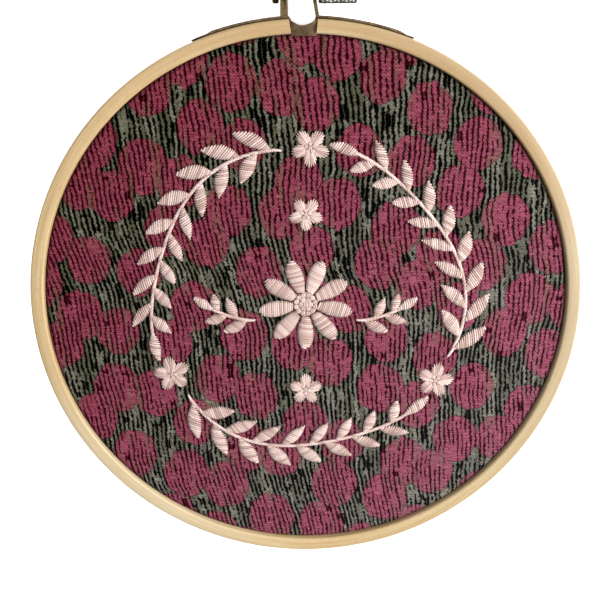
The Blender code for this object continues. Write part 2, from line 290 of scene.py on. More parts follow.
depth = add(tree, "Math", {0: depth, 1: cells}, operation="MINIMUM")
print("a dot every", DOT_SPACING, "mm")

# %% Cotton print: how wide a stroke and a crack are
# Both are parts of a column. Ink also stops short of a dot's outline, by more in one column
# than in the next.
spread = add(tree, "Mapping", {"Vector": mm, "Scale": (1 / 0.9, 1 / 1.3, 1.0)})
mottle = add(tree, "TexNoise", {"Vector": spread, "Scale": 1.0, "Detail": 1.0}, noise_dimensions="2D")
low_run = add(tree, "MapRange", {"Value": in_dot, "To Min": 0.33, "To Max": 0.25})
wide = add(tree, "Math", {0: stroke_run, 1: low_run}, operation="SUBTRACT")
for operation, value in (("MAXIMUM", 0.0), ("POWER", 0.5), ("MULTIPLY", 1.75)):
    wide = add(tree, "Math", {0: wide, 1: value}, operation=operation)
inside = add(tree, "Math", {0: wide, 1: from_middle}, operation="SUBTRACT")
low_crack = add(tree, "MapRange", {"Value": in_dot, "To Min": 0.555, "To Max": 0.618})
crack = add(tree, "Math", {0: crack_run, 1: low_crack}, operation="SUBTRACT")
crack = add(tree, "Math", {0: mottle, 1: 0.6, 2: crack}, operation="MULTIPLY_ADD")
slope = add(tree, "Math", {0: axes.outputs["X"], 1: axes.outputs["Y"]}, operation="SUBTRACT")
slope = add(tree, "MapRange", {"Value": slope, "From Min": -130.0, "From Max": 130.0})
crack = add(tree, "Math", {0: slope, 1: -0.09, 2: crack}, operation="MULTIPLY_ADD")
crack = add(tree, "Math", {0: crack, 1: 1.9}, operation="MULTIPLY")
most = add(tree, "MapRange", {"Value": in_dot, "To Min": 0.31, "To Max": 0.215})
crack = add(tree, "Math", {0: crack, 1: most}, operation="MINIMUM")
outside = add(tree, "Math", {0: from_border, 1: crack}, operation="SUBTRACT")
past = add(tree, "Math", {0: inside, 1: outside}, operation="MINIMUM")
off_line = add(tree, "Math", {0: depth}, operation="ABSOLUTE")
off_line = add(tree, "Math", {0: chance, 1: -0.007, 2: off_line}, operation="MULTIPLY_ADD")
off_line = add(tree, "Math", {0: off_line, 1: DOT_SPACING / COLUMN}, operation="MULTIPLY")
past = add(tree, "Math", {0: past, 1: off_line}, operation="MINIMUM")
ink = add(tree, "MapRange", {"Value": past, "From Min": -0.11, "From Max": 0.13})
print("the ink's shape takes", len(tree.nodes), "nodes")

# %% Cotton print: weave
# Where the two sines agree, one thread passes over the other. A real thread is about 0.3 mm
# wide, too fine to show here, so it is drawn at twice that. The hollows between the threads
# take less ink.
WEAVE_PITCH = 0.6  # mm
waves = []
for axis in ("X", "Y"):
    wave = add(tree, "Math", {0: axes.outputs[axis], 1: math.pi / WEAVE_PITCH}, operation="MULTIPLY")
    waves.append(add(tree, "Math", {0: wave}, operation="SINE"))
crossing = add(tree, "Math", {0: waves[0], 1: waves[1]}, operation="MULTIPLY")
weave = add(tree, "Bump", {"Height": crossing, "Strength": 0.6, "Distance": 0.00008})
feed(shader, {"Normal": weave})
weft = add(tree, "Mapping", {"Vector": mm, "Scale": (1 / 3.5, 1 / 0.45, 1.0)})
worn = add(tree, "TexNoise", {"Vector": weft, "Scale": 1.0, "Detail": 2.0}, noise_dimensions="2D")
worn = add(tree, "Math", {0: crossing, 1: 0.12, 2: worn}, operation="MULTIPLY_ADD")
worn = add(tree, "MapRange", {"Value": worn, "From Min": 0.25, "From Max": 0.75})
print("a thread of the weave every", WEAVE_PITCH, "mm")

# %% Cotton print: inks
# Olive and grey-green outside the dots, raspberry with some brick-red strokes inside. The inks
# are painted paler and greyer towards the lower right, a painted sheen of the light.
lift = add(tree, "Math", {0: stroke_run, 1: 0.8, 2: chance.outputs[2]}, operation="MULTIPLY_ADD")
lift = add(tree, "MapRange", {"Value": lift, "From Min": 0.6, "From Max": 1.3})
brick = add(tree, "Math", {0: depth, 1: -1.5, 2: lift}, operation="MULTIPLY_ADD")
brick = add(tree, "Math", {0: mottle, 1: 1.1, 2: brick}, operation="MULTIPLY_ADD")
brick = add(tree, "MapRange", {"Value": brick, "From Min": 0.98, "From Max": 1.45})
green = add(tree, "Mix", {"Factor": lift, "A": "#53553E", "B": "#757463"}, data_type="RGBA")
red = add(tree, "Mix", {"Factor": worn, "A": "#842D3F", "B": "#8A4150"}, data_type="RGBA")
red = add(tree, "Mix", {"Factor": brick, "A": red, "B": "#764B42"}, data_type="RGBA")
inks = add(tree, "Mix", {"Factor": in_dot, "A": green, "B": red}, data_type="RGBA")
# Painted sheen: towards the lower right the inks are mixed with a pale grey.
painted_sheen_lower_right = add(tree, "Math", {0: slope, 1: 0.12}, operation="MULTIPLY")
inks = add(tree, "Mix", {"Factor": painted_sheen_lower_right, "A": inks, "B": "#9890B0"}, data_type="RGBA")
print("two inks on a dark ground")

# %% Cotton print: ground, wear and reverse
# A trace of ink creeps into the cracks. The ground is painted lighter towards the lower right, as
# light, and the whole print is painted darker towards the top, as shade. The print hardly reaches
# the reverse of the cloth, which stays dull and greyish.
# Painted light: the black ground lifts towards the lower right.
ground = add(tree, "Math", {0: slope, 1: 2.0}, operation="POWER")
ground = add(tree, "Mix", {"Factor": ground, "A": "#000000", "B": "#100F0F"}, data_type="RGBA")
crept = add(tree, "Math", {0: in_dot, 1: 0.075}, operation="MULTIPLY")
ground = add(tree, "Mix", {"Factor": crept, "A": ground, "B": "#85002A"}, data_type="RGBA")
print_colour = add(tree, "Mix", {"Factor": ink, "A": ground, "B": inks}, data_type="RGBA")
hollow_ink_and_painted_shade = add(tree, "Mix", {"Factor": worn, "A": "#B2ACAA", "B": "#FFFFFF"}, data_type="RGBA")
# Painted shade: the print is darker towards the top and lighter towards the bottom.
painted_shade_to_top = add(tree, "MapRange", {"Value": axes.outputs["Y"], "From Min": -EDGE, "From Max": EDGE,
                                 "To Min": 1.09, "To Max": 0.88})
hollow_ink_and_painted_shade = add(tree, "VectorMath", {"Vector": hollow_ink_and_painted_shade, "Scale": painted_shade_to_top}, operation="SCALE")
print_colour = add(tree, "Mix", {"Factor": 1.0, "A": print_colour, "B": hollow_ink_and_painted_shade},
                   data_type="RGBA", blend_type="MULTIPLY")
facing = add(tree, "NewGeometry")
facing = add(tree, "SeparateXYZ", {"Vector": facing.outputs["Normal"]})
reverse = add(tree, "Math", {0: facing.outputs["Z"], 1: -0.5}, operation="LESS_THAN")
reverse = add(tree, "Math", {0: reverse, 1: 0.72}, operation="MULTIPLY")
both_sides = add(tree, "Mix", {"Factor": reverse, "A": print_colour, "B": "#34302F"}, data_type="RGBA")
feed(shader, {"Base Color": both_sides})
print("cotton print has", len(tree.nodes), "nodes")

# %% [markdown]
# ## Beech
#
# The rings are steam-bent beech, sanded and left bare. The grain follows the bend, so the
# pattern is made from each point's angle and radius: long thin streaks round the ring, and
# the short darker flecks that tell beech from pine. The seam of the angle is put at the split.

# %% Beech finish: places along the bend
BARE_BEECH, tree, shader = new_material("bent_beech_sanded", {"Roughness": 0.5, "IOR": 1.5})
place = add(tree, "TexCoord")
mm = add(tree, "Mapping", {"Vector": place.outputs["Object"], "Scale": IN_MM,
                           "Location": (0.0, -HOOP_Y * 1000, 0.0)})
axes = add(tree, "SeparateXYZ", {"Vector": mm})
flipped = add(tree, "Math", {0: axes.outputs["Y"], 1: -1.0}, operation="MULTIPLY")
angle = add(tree, "Math", {0: axes.outputs["X"], 1: flipped}, operation="ARCTAN2")
length = add(tree, "Math", {0: angle, 1: OUTER_R * 1000}, operation="MULTIPLY")
squares = [add(tree, "Math", {0: axes.outputs[axis], 1: 2.0}, operation="POWER") for axis in "XY"]
square = add(tree, "Math", {0: squares[0], 1: squares[1]}, operation="ADD")
radial = add(tree, "Math", {0: square}, operation="SQRT")
along = add(tree, "CombineXYZ", {"X": radial, "Y": length, "Z": axes.outputs["Z"]})

# Streaks, flecks and clouds: how often each repeats in a mm across and along the grain.
noises = []
for fine, slow, detail in ((1.3, 0.03, 4.0), (3.2, 0.45, 2.0), (0.2, 0.02, 1.0)):
    stretched = add(tree, "Mapping", {"Vector": along, "Scale": (fine, slow, fine)})
    noises.append(add(tree, "TexNoise", {"Vector": stretched, "Scale": 1.0, "Detail": detail}))
streak, fleck, cloud = noises
print("grain follows a bend of", round(OUTER_R * 1000, 1), "mm radius")

# %% Beech finish: colours
streaks = add(tree, "MapRange", {"Value": streak, "From Min": 0.35, "From Max": 0.68})
flecks = add(tree, "MapRange", {"Value": fleck, "From Min": 0.60, "From Max": 0.70, "To Max": 0.45})
clouds = add(tree, "MapRange", {"Value": cloud, "From Min": 0.35, "From Max": 0.65})
wood = "#BEAA81"
for mark, tone in ((clouds, "#B49A71"), (streaks, "#AB8C5F"), (flecks, "#956F41")):
    wood = add(tree, "Mix", {"Factor": mark, "A": wood, "B": tone}, data_type="RGBA")

# The ring's tone is painted with light and shade: a length at the right is painted duller, as
# shade, and browner towards the clamp, and a length at the lower left is painted paler, as light.
# Painted shade: the right of the ring is duller, and browner towards the clamp.
slope = add(tree, "Math", {0: axes.outputs["Y"], 1: 0.35, 2: axes.outputs["X"]},
            operation="MULTIPLY_ADD")
painted_shade_right = add(tree, "MapRange", {"Value": slope, "From Min": -30.0, "From Max": 90.0, "To Max": 0.5})
painted_shade_browner_to_clamp = add(tree, "MapRange", {"Value": axes.outputs["Y"], "From Min": 18.0, "From Max": 45.0})
dull = add(tree, "Mix", {"Factor": painted_shade_browner_to_clamp, "A": "#716A5B", "B": "#674E30"}, data_type="RGBA")
wood = add(tree, "Mix", {"Factor": painted_shade_right, "A": wood, "B": dull}, data_type="RGBA")
# Painted light: the lower left of the ring is paler.
slope = add(tree, "Math", {0: axes.outputs["Y"], 1: 1.2, 2: axes.outputs["X"]},
            operation="MULTIPLY_ADD")
painted_light_lower_left = add(tree, "MapRange", {"Value": slope, "From Min": -115.0, "From Max": -141.0, "To Max": 0.4})
wood = add(tree, "Mix", {"Factor": painted_light_lower_left, "A": wood, "B": "#CBC1A7"}, data_type="RGBA")
relief = add(tree, "Bump", {"Height": streak, "Strength": 0.35, "Distance": 0.00015})
feed(shader, {"Base Color": wood, "Normal": relief})
print("beech has", len(tree.nodes), "nodes")

# %% [markdown]
# ## The rings
#
# A bent ring is a flat strip of wood closed in a circle. In Blender that is a cylinder without
# its lids, given its wall by a Solidify modifier and its sanded edges by a Bevel. The outer
# ring is sawn through last, as the real one is, so the edges of its two ends stay sharp.

# %% Helpers for modelling
ROUND_STEPS = 192
SANDED = 0.8 * MM  # how far the sandpaper took the wood's edges back


def nothing_selected():
    """Every operator acts on the selection, so each piece starts from an empty one."""
    if bpy.context.object and bpy.context.object.mode != "OBJECT":
        bpy.ops.object.mode_set(mode="OBJECT")
    bpy.ops.object.select_all(action="DESELECT")


def choose(obj):
    """Selects one object alone and makes it the active one."""
    nothing_selected()
    obj.select_set(True)
    bpy.context.view_layer.objects.active = obj


def soften(obj, name, width, segments, degrees):
    """Adds a Bevel that rounds each edge where the surface turns by more than an angle."""
    bevel = obj.modifiers.new(name, "BEVEL")
    bevel.width, bevel.segments = width, segments
    bevel.limit_method, bevel.angle_limit = "ANGLE", math.radians(degrees)


def cut_by(obj, name, tool):
    """Adds a Boolean that takes the tool's shape away."""
    cut = obj.modifiers.new(name, "BOOLEAN")
    cut.operation, cut.solver, cut.object = "DIFFERENCE", "EXACT", tool


def apply_all(obj):
    """Applies the modifiers and the object's own place, so that it ends at the origin."""
    choose(obj)
    for modifier in list(obj.modifiers):
        bpy.ops.object.modifier_apply(modifier=modifier.name)
    bpy.ops.object.transform_apply(location=True, rotation=True, scale=True)
    return obj


def dress(obj, name, sharp, surface, slot, *nodes):
    """Shades the piece, names it, gives it its finish and hides the solids it stands for."""
    choose(obj)
    if sharp:  # the angle in degrees from which an edge is left sharp
        bpy.ops.object.shade_smooth_by_angle(angle=math.radians(sharp))
    else:
        bpy.ops.object.shade_smooth()
    obj.name = obj.data.name = name
    obj.data.materials.clear()
    obj.data.materials.append(surface)
    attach(obj, "root")
    if nodes:
        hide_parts(*nodes)
    print(name, len(obj.data.polygons), "faces")


def bent_ring(radius, wall, bottom, top):
    """A lidless cylinder with a wall inwards and rounded edges."""
    nothing_selected()
    bpy.ops.mesh.primitive_cylinder_add(
        vertices=ROUND_STEPS, radius=radius, depth=top - bottom, end_fill_type="NOTHING",
        location=(0.0, HOOP_Y, (top + bottom) / 2))
    ring = bpy.context.object
    thick = ring.modifiers.new("wall", "SOLIDIFY")
    thick.thickness, thick.offset = wall, -1.0
    soften(ring, "sanded_edges", SANDED, 4, 50)
    return apply_all(ring)


# %% The two rings
INNER_WALL = 4.2 * MM
CUT_NEAR, CUT_FAR = 86.0, 96.0  # mm from the hoop's middle, inside and outside the outer ring
CUT_LEFT, CUT_RIGHT = (-4.28, -5.82), (3.06, 4.0)  # mm aside, near and far
CUT_HIGH = 40 * MM
outer = bent_ring(OUTER_R, OUTER_WALL, OUTER_LOW, OUTER_TOP)
bpy.ops.mesh.primitive_cube_add(size=1.0, location=(0.0, 0.0, 0.0))
saw_cut = bpy.context.object
for v in saw_cut.data.vertices:  # the saw left both ends a little slanted
    far = v.co.y > 0
    x = (CUT_RIGHT if v.co.x > 0 else CUT_LEFT)[far]
    v.co = (x * MM, HOOP_Y + (CUT_FAR if far else CUT_NEAR) * MM, v.co.z * CUT_HIGH)
cut_by(outer, "split", saw_cut)
apply_all(outer)
bpy.data.objects.remove(saw_cut, do_unlink=True)
dress(outer, "beech_outer_ring", 40, BARE_BEECH, "wood", "outer_ring")
inner = bent_ring(INNER_R, INNER_WALL, INNER_LOW, INNER_TOP)
dress(inner, "beech_inner_ring", 40, BARE_BEECH, "wood", "inner_ring")

# %% [markdown]
# ## The stretched cloth
#
# The cloth lies flat over the inner ring, bends down over its edge and goes on between the two
# rings to a trimmed edge at the back. It is modelled as one thin surface of rings of points,
# so that its small unevenness can be put into it, and then given its thickness.

# %% The cloth's profile
CLOTH_THICK = 1.0 * MM
GRIPPED_R = CLOTH_R + 0.27 * MM  # the solid keeps a gap to the ring, which grips the real cloth
FOLD = 1.7 * MM  # radius of the bend over the inner ring's edge
ROUND = 240  # points round the cloth
FLAT_STEPS, SKIRT_STEPS = 72, 7
flat_r = GRIPPED_R - FOLD
skirt = CLOTH_TOP - FOLD - CLOTH_EDGE
profile = [(flat_r * i / FLAT_STEPS, CLOTH_TOP) for i in range(1, FLAT_STEPS + 1)]
for bent in (15, 30, 45, 60, 75, 90):
    a = math.radians(bent)
    profile.append((flat_r + FOLD * math.sin(a), CLOTH_TOP - FOLD * (1 - math.cos(a))))
profile += [(GRIPPED_R, CLOTH_TOP - FOLD - skirt * i / SKIRT_STEPS) for i in range(1, SKIRT_STEPS + 1)]
walked = [0.0, profile[0][0]]  # how far each ring of points is from the middle, along the cloth
for (r0, z0), (r1, z1) in zip(profile, profile[1:]):
    walked.append(walked[-1] + math.hypot(r1 - r0, z1 - z0))
print("cloth from its middle to its trimmed edge", round(walked[-1] / MM, 1), "mm")

# %% Stretched cloth
points = [(0.0, HOOP_Y, CLOTH_TOP)]
for n, (r, z) in enumerate(profile):
    for i in range(ROUND):
        a = 2 * math.pi * i / ROUND
        rise = 0.0
        if r < flat_r:  # the slack of a hand-stretched cloth, and small pulls near the ring
            pull = (r / flat_r) ** 6
            rise = 0.05 * MM * pull * math.sin(17 * a + 1.3) * math.sin(5 * a)
            rise += 0.04 * MM * math.sin(r * 210 + 3 * a) * math.sin(2 * a + r * 90)
        elif n == len(profile) - 1:  # the edge was trimmed by hand
            rise = 0.25 * MM * (math.sin(23 * a) * math.sin(7 * a + 1) + 0.6 * math.sin(61 * a))
            rise = max(rise, -0.1 * MM)
        points.append((r * math.cos(a), HOOP_Y + r * math.sin(a), z + rise))
faces = [(0, 1 + i, 1 + (i + 1) % ROUND) for i in range(ROUND)]
for n in range(len(profile) - 1):
    near, far = 1 + n * ROUND, 1 + (n + 1) * ROUND
    for i in range(ROUND):
        j = (i + 1) % ROUND
        faces.append((near + i, far + i, far + j, near + j))
mesh = bpy.data.meshes.new("cloth")
mesh.from_pydata(points, [], faces)
laid_flat = mesh.uv_layers.new(name="laid_flat")
for loop in mesh.loops:
    n, i = divmod(loop.vertex_index - 1, ROUND) if loop.vertex_index else (-1, 0)
    a = 2 * math.pi * i / ROUND
    laid_flat.data[loop.index].uv = (walked[n + 1] * math.cos(a), walked[n + 1] * math.sin(a))
cloth = new_object("cloth", mesh)
thick = cloth.modifiers.new("thickness", "SOLIDIFY")
thick.thickness, thick.offset = CLOTH_THICK, -1.0
apply_all(cloth)
dress(cloth, "stretched_cotton", 60, PRINTED_COTTON, "cotton", "cloth")

# %% [markdown]
# ## Embroidery thread
#
# The wreath is stitched in stranded cotton, which is combed and treated until it shines a
# little. Each laid thread is two plies twisted together. The twist could be modelled, but at a
# sixth of a millimetre it is better left to a bump that follows each thread's own length.

# %% Thread finish
THREAD, tree, shader = new_material(
    "stranded_cotton_thread",
    {"Roughness": 0.5, "Specular IOR Level": 0.5, "Sheen Weight": 0.15})
TWIST_PITCH = 1.1  # mm of thread for one turn of a ply
own = add(tree, "Attribute", attribute_name="along_thread")
axes = add(tree, "SeparateXYZ", {"Vector": own.outputs["Vector"]})
round_it = add(tree, "Math", {0: axes.outputs["Y"], 1: axes.outputs["Z"]}, operation="ARCTAN2")
forward = add(tree, "Math", {0: axes.outputs["X"], 1: 2 * math.pi / TWIST_PITCH}, operation="MULTIPLY")
twist = add(tree, "Math", {0: forward, 1: round_it}, operation="ADD")
twist = add(tree, "Math", {0: twist, 1: 2.0}, operation="MULTIPLY")
ply = add(tree, "Math", {0: twist}, operation="SINE")
shade = add(tree, "Attribute", attribute_name="shade")
# Painted shade: the twist's grooves are darker in colour as well as in the bump, over a random tone for
# each strand.
groove = add(tree, "Math", {0: ply, 1: 0.16, 2: shade.outputs["Fac"]}, operation="MULTIPLY_ADD")
colour = add(tree, "Mix", {"Factor": groove, "A": "#9C7A6F", "B": "#D1BAB3"}, data_type="RGBA")
plies = add(tree, "Bump", {"Height": ply, "Strength": 0.6, "Distance": 0.00006})
feed(shader, {"Base Color": colour, "Normal": plies})
print("thread has", len(tree.nodes), "nodes")

# %% [markdown]
# ## One stitch and one knot
#
# Everything sewn is made of two shapes, modelled once. A stitch is a short thread that comes up
# through the cloth, lies over it and goes down again. It is a six-sided rod cut in a few places,
# narrow at its ends. A knot is a thread wound round on itself, so it is a small fat torus.

# %% Model the stitch and the knot
SIDEWAYS = (0.0, math.pi / 2, 0.0)  # turns an upright cylinder along X


def measured(obj):
    """The points and faces of a modelled shape, which is then removed."""
    points = np.array([v.co[:] for v in obj.data.vertices])
    faces = [tuple(f.vertices) for f in obj.data.polygons]
    bpy.data.objects.remove(obj, do_unlink=True)
    return points, faces


nothing_selected()
bpy.ops.mesh.primitive_cylinder_add(vertices=6, radius=1.0, depth=1.0, location=(0.5, 0.0, 0.0),
                                    rotation=SIDEWAYS)
stitch = bpy.context.object
bpy.ops.object.transform_apply(location=True, rotation=True, scale=False)
bpy.ops.object.mode_set(mode="EDIT")
for cut in (0.06, 0.2, 0.4, 0.6, 0.8, 0.94):
    bpy.ops.mesh.select_all(action="SELECT")
    bpy.ops.mesh.bisect(plane_co=(cut, 0.0, 0.0), plane_no=(1.0, 0.0, 0.0))
for near, share in ((0.0, 0.35), (0.06, 0.78)):  # both ends are narrower
    bpy.ops.mesh.select_all(action="DESELECT")
    bpy.ops.object.mode_set(mode="OBJECT")
    for v in stitch.data.vertices:
        v.select = min(abs(v.co.x - near), abs(v.co.x - 1.0 + near)) < 0.01
    bpy.ops.object.mode_set(mode="EDIT")
    bpy.ops.transform.resize(value=(1.0, share, share), center_override=(0.5, 0.0, 0.0))
bpy.ops.object.mode_set(mode="OBJECT")
STITCH_POINTS, STITCH_FACES = measured(stitch)

nothing_selected()
bpy.ops.mesh.primitive_torus_add(major_segments=10, minor_segments=6,
                                 major_radius=0.5, minor_radius=0.5)
KNOT_POINTS, KNOT_FACES = measured(bpy.context.object)
print("stitch", len(STITCH_FACES), "faces, knot", len(KNOT_FACES), "faces")

# %% [markdown]
# ## Sewing
#
# A motif is a list of stitches, each with its two needle holes, its thickness and how high it
# arches. Placing a thousand copies by hand isn't possible, so this function moves the one
# stitch to each place. Satin stitch covers the reverse of the cloth as it does the face, so each
# stitch has a flatter one under the cloth, and the thread turns through the same holes.

# %% Sewing helper
FACE = CLOTH_TOP / MM
REVERSE = FACE - CLOTH_THICK / MM
# A layer of thread: which way it arches and from where, its share of the arch, half its height.
LAYERS = ((1, FACE, 1.0, 0.29), (-1, REVERSE, 0.35, 0.17))
knot_x, knot_y, knot_z = KNOT_POINTS.T
KNOT_OWN = np.stack([np.arctan2(knot_y, knot_x) * 0.5, np.hypot(knot_x, knot_y) - 0.5, knot_z], 1)


def sew(name, stitches, knots, *nodes):
    """Makes one motif, in mm from the hoop's middle.

    A stitch is (x0, y0, x1, y1, half width, arch) and a knot is (x, y, radius, lift).
    """
    rng = np.random.default_rng(len(stitches) * 31 + len(knots))
    rows = np.array(stitches, float)
    start, way = rows[:, 0:2], rows[:, 2:4] - rows[:, 0:2]
    length = np.hypot(way[:, 0], way[:, 1])
    side = np.stack([-way[:, 1], way[:, 0]], 1) / length[:, None]
    u, y, z = STITCH_POINTS.T
    bow = rng.uniform(-0.05, 0.05, len(rows))
    tall = rng.uniform(-0.04, 0.04, len(rows))
    tone = rng.uniform(0.1, 1.0, len(rows))
    sideways = rows[:, 4:5] * y + (bow[:, None] * np.sin(np.pi * u))
    x_y = start[:, None] + way[:, None] * u[:, None] + side[:, None] * sideways[..., None]
    hump = np.maximum(np.sin(np.pi * u), 0.0) ** 0.75
    dip = np.where(np.abs(u - 0.5) > 0.47, 0.30, 0.0)  # both ends go down into their holes
    shape = x_y.shape[:2]
    along_it = np.stack([u * length[:, None], np.broadcast_to(y, shape), np.broadcast_to(z, shape)], -1)
    points, own, faces = [], [], []
    for up, surface, arch_share, thick in LAYERS:
        height = thick - dip + (rows[:, 5:6] + tall[:, None]) * arch_share * hump + z * thick
        turned = STITCH_FACES if up > 0 else [f[::-1] for f in STITCH_FACES]
        for k in range(len(rows)):
            base = (len(points) * len(rows) + k) * len(STITCH_POINTS)
            faces += [tuple(base + i for i in f) for f in turned]
        points.append(np.concatenate([x_y, (surface + up * height)[..., None]], -1).reshape(-1, 3))
        own.append(along_it.reshape(-1, 3))
    points, own = np.concatenate(points), np.concatenate(own)
    shades = np.repeat(np.tile(tone, len(LAYERS)), len(STITCH_POINTS))
    for x, y, radius, lift in knots:
        base = len(points)
        squat = radius * np.array([1.0, 1.0, 0.8])
        spin = rng.uniform(0, 6)
        c, s = math.cos(spin), math.sin(spin)
        turned = KNOT_POINTS @ np.array([[c, s, 0], [-s, c, 0], [0, 0, 1]])
        points = np.concatenate([points, turned * squat + (x, y, FACE + lift)])
        own = np.concatenate([own, KNOT_OWN])
        shades = np.concatenate([shades, np.full(len(KNOT_POINTS), rng.uniform(0.4, 0.9))])
        faces += [tuple(base + i for i in f) for f in KNOT_FACES]
    mesh = bpy.data.meshes.new(name)
    mesh.from_pydata((points + (0.0, HOOP_Y / MM, 0.0)) * MM, [], faces)
    mesh.attributes.new("along_thread", "FLOAT_VECTOR", "POINT").data.foreach_set("vector", own.ravel())
    mesh.attributes.new("shade", "FLOAT", "POINT").data.foreach_set("value", shades)
    dress(new_object(name, mesh), name, None, THREAD, "thread", *nodes)


# %% [markdown]
# ## The wreath
#
# Three leafy sprigs lie on a circle with a small flower between each two. A leaf is satin
# stitch laid across it on a slant, from a narrow base through its widest place to a point, and
# a stem is stem stitch, each one starting beside the middle of the last, which makes a rope.

# %% Leaves and stems
PITCH = 0.68  # mm between neighbouring satin stitches
HALF = 0.365  # half a thread's width, so that neighbours touch
STEM_LONG, STEM_STEP = 3.4, 1.25  # mm, a stem stitch, and from its start to the next one's


def satin_leaf(base, side, long, half, slant, first):
    """Stitches across one leaf, as (along, across) pairs from the stem's own line."""
    rise = math.radians(slant)
    out, t = [], first
    while t < 0.985:
        ends = []
        for edge in (1, -1):
            w = half * math.sin(math.pi * min(max(t, 0.001), 0.999)) ** 0.9
            at = min(max(t - edge * 0.45 * w / long, first * 0.5), 1.0)
            w = half * math.sin(math.pi * min(at, 0.999)) ** 0.9 + random.uniform(-0.06, 0.06)
            ends.append((base + at * long * math.cos(rise) - edge * w * math.sin(rise),
                         side * (at * long * math.sin(rise) + edge * w * math.cos(rise))))
        if math.dist(*ends) > 0.5:
            out.append((ends[0], ends[1], HALF, min(0.6, 0.18 * math.dist(*ends))))
        t += PITCH * 1.1 / long
    return out


def leafy_sprig(length, left, right, leaf_long, leaf_half, slant, stem_half, tip_long):
    """All the stitches of a sprig, on a straight line."""
    out = []
    for side, stations in ((1, left), (-1, right)):
        for base in stations:
            size = 1.0 - 0.25 * base / length
            first = stem_half * 0.6 / math.sin(math.radians(slant)) / (leaf_long * size)
            out += satin_leaf(base, side, leaf_long * size, leaf_half * size, slant, first)
    tip = satin_leaf(-0.12 * tip_long, 1, tip_long, leaf_half * 0.8, 0.0, 0.1)
    out += [((s0 + length, n0), (s1 + length, n1), wide, arch)
            for (s0, n0), (s1, n1), wide, arch in tip]
    s = -0.3
    while s < length - 1.0:
        out.append(((s, -stem_half * 0.42), (s + STEM_LONG, stem_half * 0.42), 0.42, 0.16))
        s += STEM_STEP
    return out


def laid_out(stitches, bend):
    """Each stitch's two ends moved by the function that bends the straight sprig."""
    return [(*bend(*a), *bend(*b), wide, arch) for a, b, wide, arch in stitches]


# %% Three sprigs
WREATH_R = 53.0


def round_wreath(start):
    """A function that lays a point of the straight sprig on the wreath's circle."""
    def bend(s, n):
        a = math.radians(start) + s / WREATH_R
        r = WREATH_R + n + 1.6 * math.sin(s / WREATH_R * 4.2)
        return r * math.cos(a), r * math.sin(a)
    return bend


left = [3.0 + 10.2 * i for i in range(8)]
right = [7.6 + 10.2 * i for i in range(8)]
for n, letter in enumerate("abc"):
    sprig = leafy_sprig(length=86.0, left=left, right=right, leaf_long=13.0, leaf_half=2.5,
                        slant=40.0, stem_half=0.8, tip_long=11.0)
    sprig = laid_out(sprig, round_wreath(99.0 + 120.0 * n))
    sew("stitched_sprig_" + letter, sprig, [], "sprig_" + letter)


# %% Twigs beside the middle flower
def round_twig(cx, cy, heading, bend):
    """A function that lays a point of a straight twig on its own arc."""
    h = math.radians(heading)

    def place_it(s, n):
        turned = s * bend
        x = math.sin(turned) / bend - n * math.sin(turned)
        y = (1.0 - math.cos(turned)) / bend + n * math.cos(turned)
        return cx + x * math.cos(h) - y * math.sin(h), cy + x * math.sin(h) + y * math.cos(h)
    return place_it


twig = leafy_sprig(length=15.5, left=[2.5, 9.5], right=[5.8, 12.4], leaf_long=9.5, leaf_half=2.1,
                   slant=42.0, stem_half=0.75, tip_long=8.5)
sew("stitched_twig_left", laid_out(twig, round_twig(-17.5, -6.0, 176.0, -0.028)), [], "twig_l")
other_hand = [((a[0], -a[1]), (b[0], -b[1]), wide, arch) for a, b, wide, arch in twig]
sew("stitched_twig_right", laid_out(other_hand, round_twig(17.5, -6.0, 4.0, 0.028)), [], "twig_r")

# %% [markdown]
# ## Flowers
#
# The small flowers are long stitches that all start round the middle and end on the outline of
# five petals, with knots over their starts. The middle flower has nine petals, each filled with
# satin stitch across it, and its eye is a cluster of knots over a few padding stitches.

# %% Small flowers
EYE_R = 1.2  # mm, where the stitches start


def open_flower(cx, cy, radius, turn):
    """Stitches and knots of a flower with five petals."""
    stitches, knots = [], []
    count = int(2 * math.pi * radius * 0.8 / PITCH)
    for i in range(count):
        a = 2 * math.pi * (i + 0.5) / count
        petal = abs(math.sin(2.5 * a))  # 0 between two petals, 1 at the middle of one
        r = radius * (0.42 + 0.58 * petal ** 0.7) + random.uniform(-0.25, 0.0)
        b = a + math.radians(turn)
        x, y = math.cos(b), math.sin(b)
        stitches.append((cx + EYE_R * x, cy + EYE_R * y, cx + r * x, cy + r * y,
                         0.33, 0.12 + 0.28 * petal))
    for i in range(6):
        r = 1.3 if i else 0.0
        a = 2 * math.pi * i / 5 + math.radians(turn)
        knots.append((cx + r * math.cos(a), cy + r * math.sin(a), 0.72, 0.62 if i else 0.75))
    return stitches, knots


for n, letter in enumerate("abc"):
    a = math.radians(88.5 + 120.0 * n)
    flower = open_flower(WREATH_R * math.cos(a), WREATH_R * math.sin(a), 6.6, 90.0 + 120.0 * n)
    sew("stitched_flower_" + letter, *flower, "blossom_" + letter)
sew("stitched_flower_above", *open_flower(0.0, 31.0, 6.0, 90.0), "blossom_d")
sew("stitched_flower_below", *open_flower(0.0, -31.0, 6.0, -90.0), "blossom_e")

